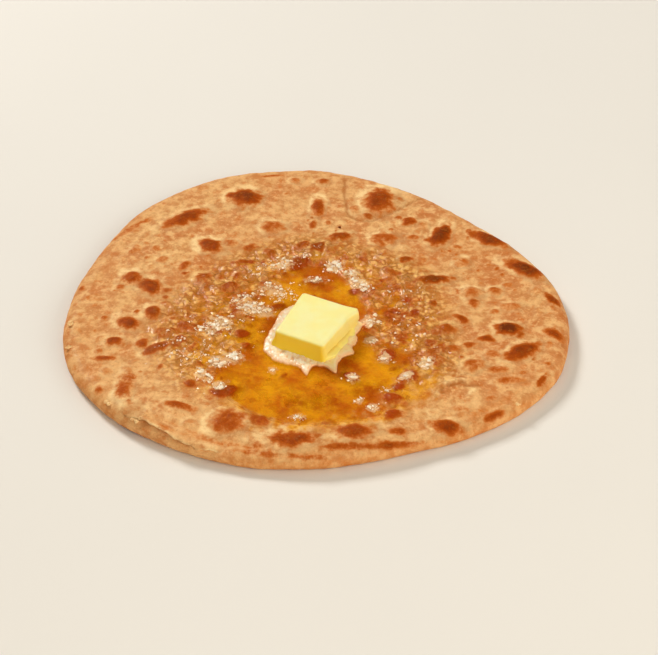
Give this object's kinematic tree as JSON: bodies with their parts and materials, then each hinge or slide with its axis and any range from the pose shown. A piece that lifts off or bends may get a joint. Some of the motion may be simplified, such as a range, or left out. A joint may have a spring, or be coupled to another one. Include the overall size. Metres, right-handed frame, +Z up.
{
  "type": "stuffed paratha",
  "caption": "Thick round stuffed flatbread with browned blisters, a torn flake at the rim, a melting pat of butter and its golden pool.",
  "frame": {"origin": "middle of the bread's box, on the surface that it lies on", "axes": "+Z up through the bread, +X along its widest way across, -Y towards the viewer of the picture"},
  "size_m": [0.2006, 0.1836, 0.0166],
  "materials": {
    "crust": "dry, slightly oily griddle-baked dough with browned blisters",
    "butter": "soft satin butter",
    "melted_butter": "clear golden liquid, very glossy",
    "froth": "moist pale foam of milk solids"
  },
  "bodies": {
    "root": {"paratha": "crust", "butter_pat": "butter", "melted_butter": "melted_butter", "butter_froth": "froth"}
  },
  "joints": []
}
